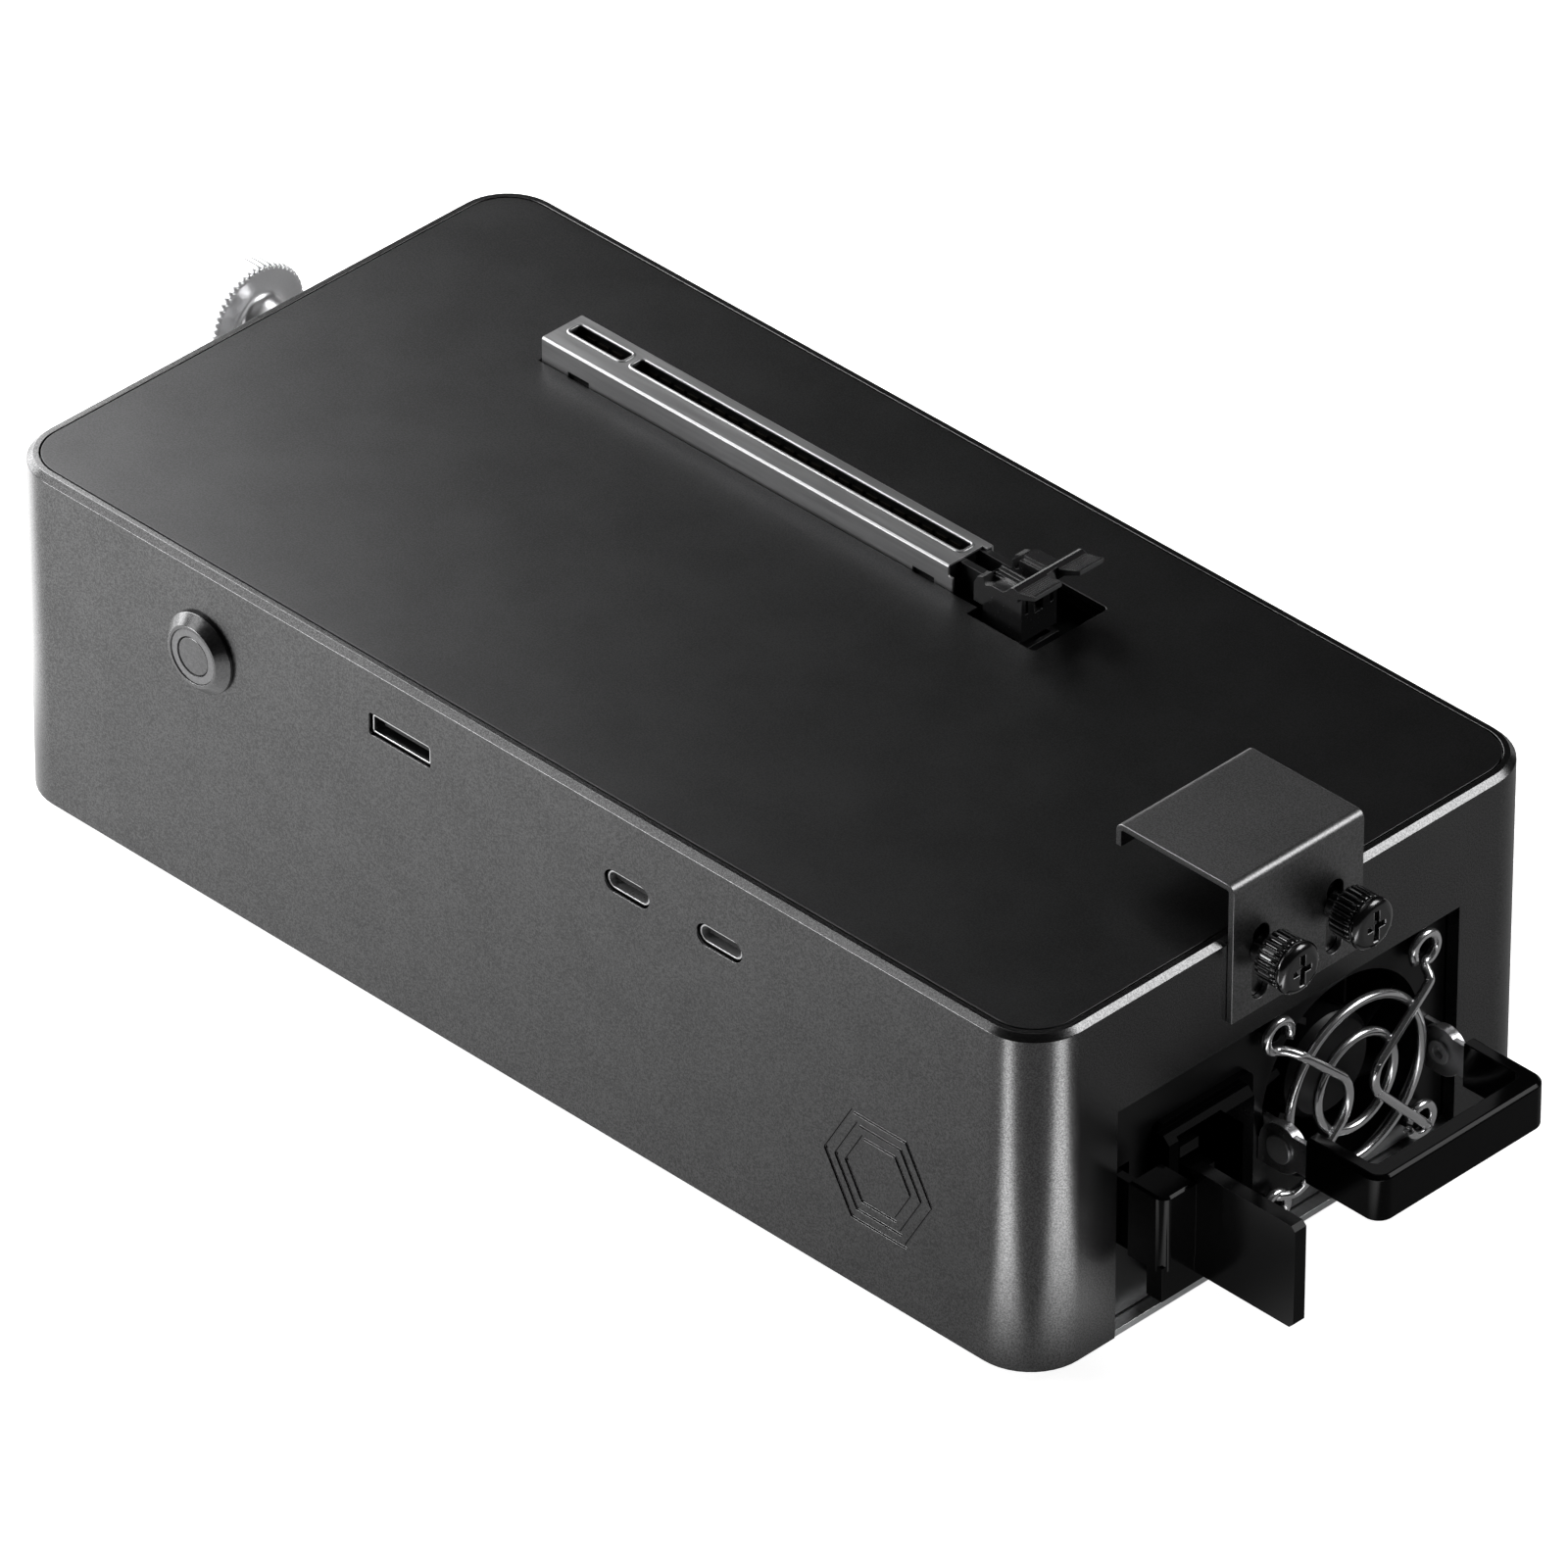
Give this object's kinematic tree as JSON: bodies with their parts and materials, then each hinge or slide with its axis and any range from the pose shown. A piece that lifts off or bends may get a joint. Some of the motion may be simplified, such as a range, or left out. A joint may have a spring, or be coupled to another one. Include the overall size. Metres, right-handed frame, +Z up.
{
  "type": "external graphics card enclosure",
  "caption": "Low desk enclosure for an external graphics card: open card slot with retaining latch on top, slide-in power supply with fan, inlet and pull handle at one end.",
  "frame": {"origin": "middle of the case's length and width, on the desk plane under the feet", "axes": "+X towards the end with the power supply's face, -Y towards the long side with the power button, +Z up"},
  "size_m": [0.2673, 0.1122, 0.0738],
  "materials": {
    "case_anodised": "fine blasted dark anodised",
    "panel_black": "fine blasted black anodised",
    "plate_natural": "natural",
    "sheet_steel": "zinc plated",
    "supply_steel": "black powder coat",
    "bright_steel": "bright plated",
    "knob_metal": "turned, knurled",
    "bracket_black": "blasted dark anodised",
    "screw_dark": "dark nickel",
    "foot_rubber": "matt",
    "board_black": "solder mask",
    "plastic_black": "moulded",
    "gloss_black": "glossy moulded",
    "contact_gold": "gold plated",
    "light_white": "translucent",
    "bezel_metal": "turned",
    "copper": "bare copper",
    "core_grey": "ferrite and tape",
    "can_aluminium": "sleeved"
  },
  "bodies": {
    "enclosure": {"main_case": "case_anodised", "top_panel": "panel_black", "bottom_plate": "plate_natural", "bottom_screws": "screw_dark", "rubber_feet": "foot_rubber", "psu_bay": "sheet_steel", "main_board": "board_black", "side_board": "board_black", "board_standoffs": "contact_gold", "board_screws": "sheet_steel", "card_slot_shield": "sheet_steel", "card_slot_body": "plastic_black", "card_slot_contacts": "contact_gold", "button_bezel": "bezel_metal", "button_nut": "sheet_steel", "button_light_ring": "light_white", "switch_body": "plastic_black", "button_lead": "plastic_black", "link_port_shell": "bright_steel", "link_port_tongue": "plastic_black", "front_port_shells": "bright_steel", "front_port_tongues": "plastic_black", "screw_inserts": "contact_gold", "knob_insert": "contact_gold", "backplane_board": "board_black", "power_socket": "plastic_black", "power_busbars": "copper", "board_link": "plastic_black"},
    "psu_module": {"psu_case": "supply_steel", "psu_board": "board_black", "psu_board_screws": "sheet_steel", "psu_heatsinks": "can_aluminium", "psu_transformer": "core_grey", "psu_capacitors": "can_aluminium", "inlet_housing": "gloss_black", "inlet_pins": "bright_steel", "fan_frame": "plastic_black", "fan_guard": "bright_steel", "handle_lugs": "bright_steel", "handle_rivets": "bright_steel", "latch_pin": "bright_steel"},
    "fan_rotor": {"fan_rotor": "plastic_black"},
    "pull_handle": {"pull_handle": "gloss_black", "handle_ears": "bright_steel"},
    "release_latch": {"release_latch": "gloss_black"},
    "card_latch": {"card_latch": "gloss_black"},
    "power_button": {"button_cap": "bezel_metal"},
    "support_bracket": {"support_bracket": "bracket_black"},
    "thumb_screw_front": {"thumb_screw_front": "screw_dark"},
    "thumb_screw_rear": {"thumb_screw_rear": "screw_dark"},
    "end_knob": {"end_knob": "knob_metal"}
  },
  "joints": [
    {"name": "psu_slide", "type": "slide", "parent": "enclosure", "child": "psu_module", "axis": [1, 0, 0], "range_m": [0, 0.18]},
    {"name": "fan_spin", "type": "hinge", "parent": "psu_module", "child": "fan_rotor", "pos_m": [0.095, 0.0142, 0.0235], "axis": [1, 0, 0], "continuous": true},
    {"name": "handle_fold", "type": "hinge", "parent": "psu_module", "child": "pull_handle", "pos_m": [0.1138, 0.0142, 0.021], "axis": [0, 1, 0], "range_deg": [-60, 0]},
    {"name": "release_press", "type": "hinge", "parent": "psu_module", "child": "release_latch", "pos_m": [0.0985, -0.0336, 0.0245], "axis": [0, 0, 1], "range_deg": [0, 4], "stiffness_Nm_per_rad": 1.5},
    {"name": "card_latch_tip", "type": "hinge", "parent": "enclosure", "child": "card_latch", "pos_m": [0.029, 0.0274, 0.059], "axis": [0, 1, 0], "range_deg": [0, 20]},
    {"name": "button_press", "type": "slide", "parent": "enclosure", "child": "power_button", "axis": [0, 1, 0], "range_m": [0, 0.001], "stiffness_N_per_m": 1500},
    {"name": "bracket_slide", "type": "slide", "parent": "enclosure", "child": "support_bracket", "axis": [0, 0, 1], "range_m": [-0.0024, 0.0075]},
    {"name": "thumb_turn_front", "type": "hinge", "parent": "enclosure", "child": "thumb_screw_front", "pos_m": [0.115, -0.008, 0.06], "axis": [1, 0, 0], "continuous": true},
    {"name": "thumb_turn_rear", "type": "hinge", "parent": "enclosure", "child": "thumb_screw_rear", "pos_m": [0.115, 0.008, 0.06], "axis": [1, 0, 0], "continuous": true},
    {"name": "knob_turn", "type": "hinge", "parent": "enclosure", "child": "end_knob", "pos_m": [-0.12, 0.0105, 0.052], "axis": [1, 0, 0], "continuous": true}
  ]
}
